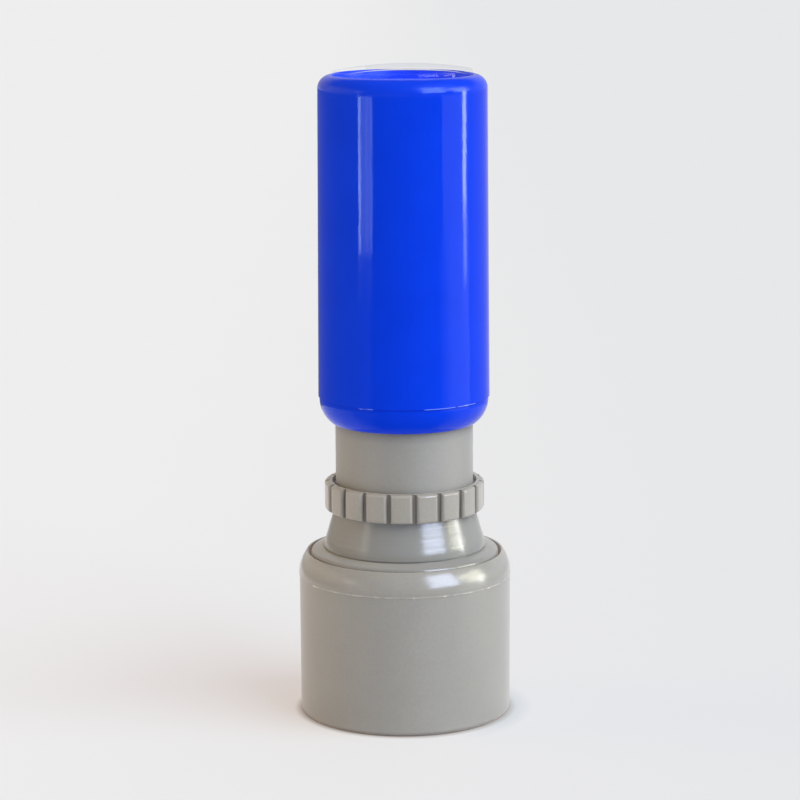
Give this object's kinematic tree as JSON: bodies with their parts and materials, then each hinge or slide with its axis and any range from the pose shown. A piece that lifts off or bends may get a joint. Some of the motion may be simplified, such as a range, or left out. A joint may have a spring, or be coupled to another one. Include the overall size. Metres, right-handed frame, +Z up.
{
  "type": "round hand stamp",
  "caption": "Round pre-inked hand stamp: blue press handle on a sprung plunger, grey neck with toothed depth ring, cone base and skirt standing in a grey dust cap.",
  "frame": {"origin": "centre of the dust cap's underside, on the table", "axes": "+Z up along the stamp's axis, towards the lens; -Y is the side that faces the viewer"},
  "size_m": [0.032, 0.032, 0.0975],
  "materials": {
    "cap_grey": "satin moulded grey plastic",
    "base_grey": "satin moulded grey plastic, glossier on the cone",
    "ring_grey": "matte moulded grey plastic",
    "inner_grey": "plain moulded plastic",
    "steel": "bright drawn steel",
    "ink_foam": "ink-soaked foam",
    "pad_rubber": "microporous rubber foam",
    "handle_blue": "glossy moulded blue plastic",
    "label_blue": "plain blank card",
    "clear_lens": "clear moulded plastic"
  },
  "bodies": {
    "cap": {"dust_cap": "cap_grey"},
    "base": {"base_shell": "base_grey", "return_spring": "steel"},
    "plunger": {"handle": "handle_blue", "plunger_tube": "inner_grey", "pad_holder": "inner_grey", "ink_reservoir": "ink_foam", "stamp_pad": "pad_rubber", "pad_ring": "inner_grey", "handle_screw": "steel", "label_card": "label_blue", "lens_cap": "clear_lens"},
    "ring": {"adjusting_ring": "ring_grey"},
    "stop": {"stop_sleeve": "inner_grey", "guide_pins": "steel"}
  },
  "joints": [
    {"name": "uncap", "type": "slide", "parent": "cap", "child": "base", "axis": [0, 0, 1], "range_m": [0, 0.026]},
    {"name": "press", "type": "slide", "parent": "base", "child": "plunger", "axis": [0, 0, 1], "range_m": [-0.0046, 0], "stiffness_N_per_m": 800, "springref_m": 0.006, "deforming": ["return_spring"]},
    {"name": "ring_turn", "type": "hinge", "parent": "base", "child": "ring", "pos_m": [0, 0, 0.0333], "axis": [0, 0, 1], "range_deg": [0, 150]},
    {"name": "stop_slide", "type": "slide", "parent": "base", "child": "stop", "axis": [0, 0, 1], "range_m": [-0.0012, 0]}
  ],
  "couplings": [
    {"joint": "ring_turn", "follows": "stop_slide", "rad_per_m": -2181.7}
  ]
}
